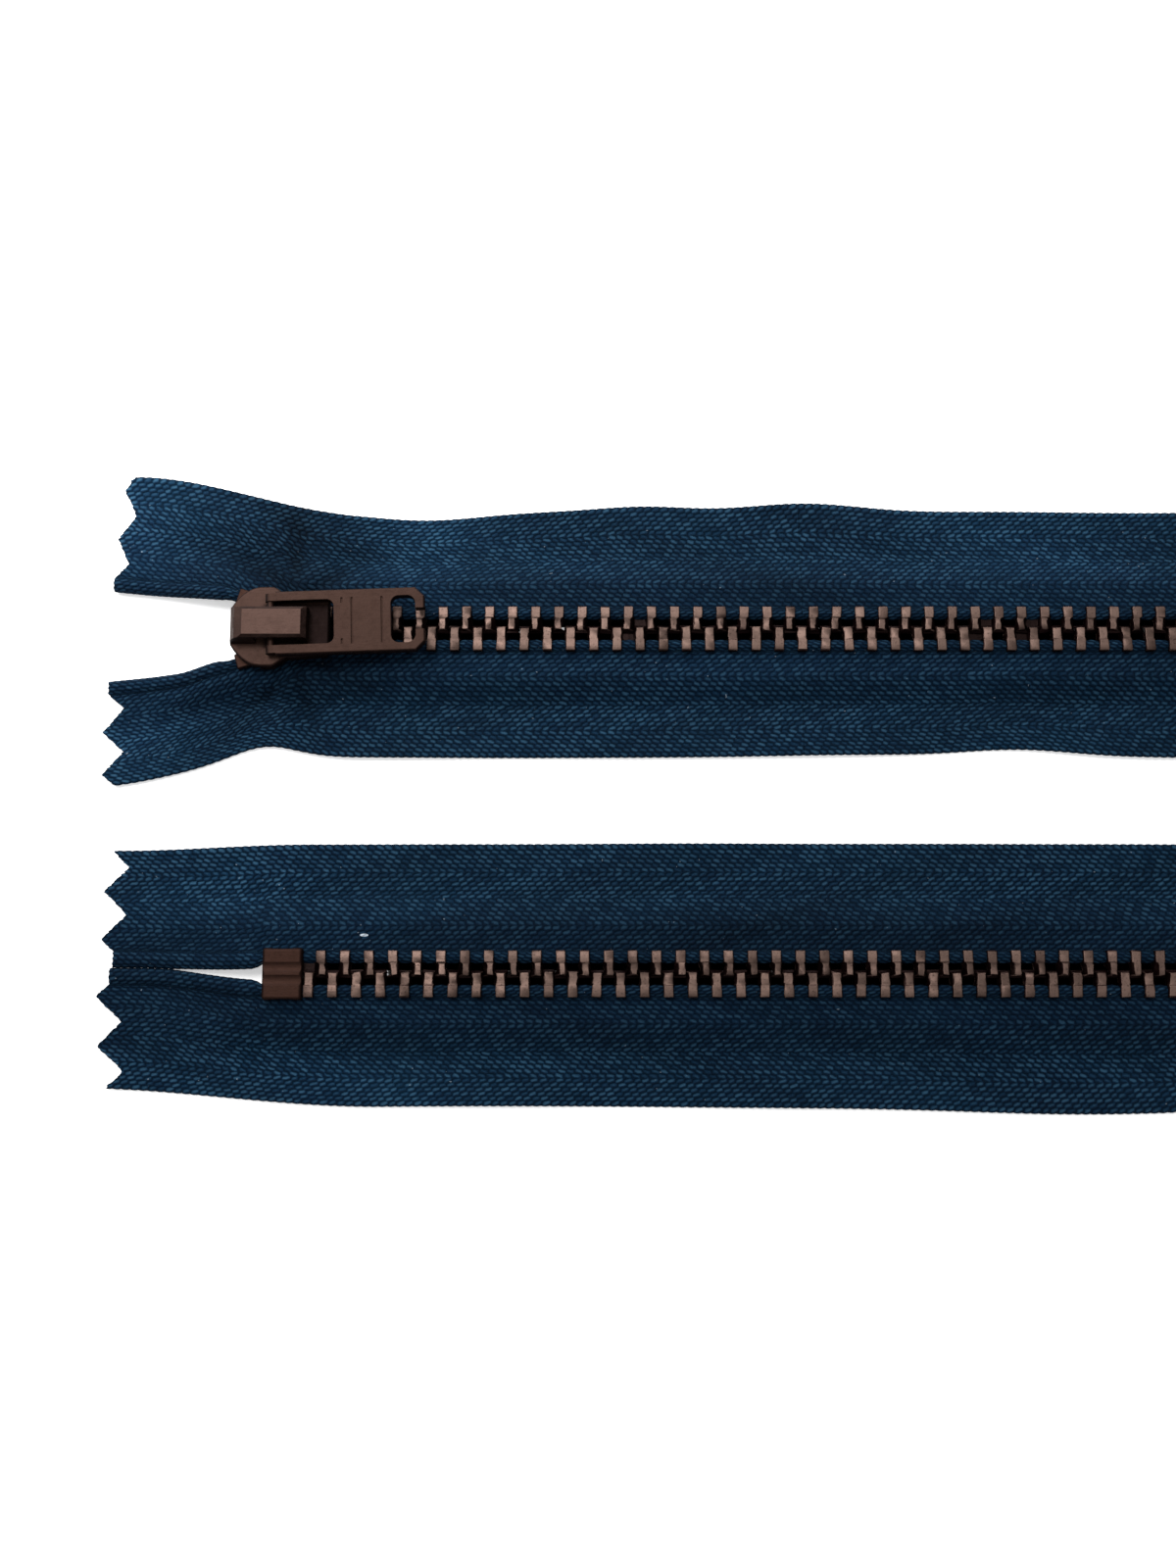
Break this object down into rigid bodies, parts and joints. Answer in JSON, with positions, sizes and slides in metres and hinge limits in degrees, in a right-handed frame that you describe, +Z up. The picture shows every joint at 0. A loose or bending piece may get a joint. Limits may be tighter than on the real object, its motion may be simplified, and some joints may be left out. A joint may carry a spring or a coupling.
{
  "type": "metal zipper",
  "caption": "Closed-end metal zipper on woven tapes with pinked ends, lying face up in a long U, with a lock slider and flat puller.",
  "frame": {"origin": "centre of the outer box, on the surface the zipper lies on", "axes": "+X along the upper run from its cut end to the bend, +Y from the lower run to the upper run, +Z up"},
  "size_m": [0.226, 0.0762, 0.0306],
  "materials": {
    "tape": "herringbone weave",
    "bead": "woven cord edge",
    "teeth": "antique copper, worn bright on the edges",
    "slider": "antique copper, matte",
    "stops": "antique copper, dark",
    "spring": "plain"
  },
  "bodies": {
    "closed_chain": {"bottom_stop": "stops", "left_tape_before_roll": "tape", "left_tape_first_roll": "tape", "left_tape_first_bend": "tape", "left_tape_second_bend": "tape", "left_tape_second_roll": "tape", "left_tape_lower": "tape", "left_bead_before_roll": "bead", "left_teeth_before_roll": "teeth", "left_bead_round_bend": "bead", "left_teeth_round_bend": "teeth", "left_bead_lower": "bead", "left_teeth_lower": "teeth", "right_tape_before_roll": "tape", "right_tape_first_roll": "tape", "right_tape_first_bend": "tape", "right_tape_second_bend": "tape", "right_tape_second_roll": "tape", "right_tape_lower": "tape", "right_bead_before_roll": "bead", "right_teeth_before_roll": "teeth", "right_bead_round_bend": "bead", "right_teeth_round_bend": "teeth", "right_bead_lower": "bead", "right_teeth_lower": "teeth"},
    "slider": {"slider_body": "slider", "slider_crown": "slider"},
    "puller": {"puller": "slider"},
    "pawl": {"slider_pawl": "spring"},
    "left_low": {"left_bead_at_slider_limit": "bead", "left_teeth_at_slider_limit": "teeth"},
    "left_middle": {"left_tape_at_slider_limit": "tape", "left_tape_upper": "tape", "left_bead_upper": "bead", "left_teeth_upper": "teeth"},
    "left_top": {"left_tape_top_end": "tape", "left_bead_top_end": "bead", "left_teeth_top_end": "teeth", "left_top_stop": "stops"},
    "right_low": {"right_bead_at_slider_limit": "bead", "right_teeth_at_slider_limit": "teeth"},
    "right_middle": {"right_tape_at_slider_limit": "tape", "right_tape_upper": "tape", "right_bead_upper": "bead", "right_teeth_upper": "teeth"},
    "right_top": {"right_tape_top_end": "tape", "right_bead_top_end": "bead", "right_teeth_top_end": "teeth", "right_top_stop": "stops"}
  },
  "joints": [
    {"name": "slider_travel", "type": "slide", "parent": "closed_chain", "child": "slider", "axis": [1, 0, 0], "range_m": [0, 0.0896]},
    {"name": "puller_swing", "type": "hinge", "parent": "slider", "child": "puller", "pos_m": [-0.09302, 0.0187, 0.00473], "axis": [0.0349, -0.9994, 0], "range_deg": [0, 165]},
    {"name": "pawl_lift", "type": "hinge", "parent": "slider", "child": "pawl", "pos_m": [-0.09688, 0.0187, 0.00541], "axis": [0, -1, 0], "range_deg": [0, 1.2]},
    {"name": "left_low_flex", "type": "hinge", "parent": "closed_chain", "child": "left_low", "pos_m": [-0.00137, 0.02065, 0.00197], "axis": [0, 0, -1], "range_deg": [0, 20.8], "deforming": ["left_bead_at_slider_limit", "left_teeth_at_slider_limit"]},
    {"name": "left_middle_flex", "type": "hinge", "parent": "closed_chain", "child": "left_middle", "pos_m": [0.01833, 0.02065, 0.00197], "axis": [0, 0, -1], "range_deg": [0, 4.74], "deforming": ["left_tape_at_slider_limit", "left_tape_upper", "left_bead_upper", "left_teeth_upper"]},
    {"name": "left_top_flex", "type": "hinge", "parent": "left_middle", "child": "left_top", "pos_m": [-0.05008, 0.02065, 0.00197], "axis": [0, 0, -1], "range_deg": [-4.1, 0], "deforming": ["left_tape_top_end", "left_bead_top_end", "left_teeth_top_end", "left_top_stop"]},
    {"name": "right_low_flex", "type": "hinge", "parent": "closed_chain", "child": "right_low", "pos_m": [-0.00137, 0.01675, 0.00197], "axis": [0, 0, 1], "range_deg": [0, 20.8], "deforming": ["right_bead_at_slider_limit", "right_teeth_at_slider_limit"]},
    {"name": "right_middle_flex", "type": "hinge", "parent": "closed_chain", "child": "right_middle", "pos_m": [0.01833, 0.01675, 0.00197], "axis": [0, 0, 1], "range_deg": [0, 4.74], "deforming": ["right_tape_at_slider_limit", "right_tape_upper", "right_bead_upper", "right_teeth_upper"]},
    {"name": "right_top_flex", "type": "hinge", "parent": "right_middle", "child": "right_top", "pos_m": [-0.05008, 0.01675, 0.00197], "axis": [0, 0, 1], "range_deg": [-4.1, 0], "deforming": ["right_tape_top_end", "right_bead_top_end", "right_teeth_top_end", "right_top_stop"]}
  ],
  "couplings": [
    {"joint": "pawl_lift", "follows": "puller_swing", "ratio": 0.007273},
    {"joint": "left_low_flex", "follows": "slider_travel", "rad_per_m": 4.0513},
    {"joint": "left_middle_flex", "follows": "slider_travel", "rad_per_m": 0.92322},
    {"joint": "left_top_flex", "follows": "slider_travel", "rad_per_m": -0.79856},
    {"joint": "right_low_flex", "follows": "slider_travel", "rad_per_m": 4.0513},
    {"joint": "right_middle_flex", "follows": "slider_travel", "rad_per_m": 0.92322},
    {"joint": "right_top_flex", "follows": "slider_travel", "rad_per_m": -0.79856}
  ]
}
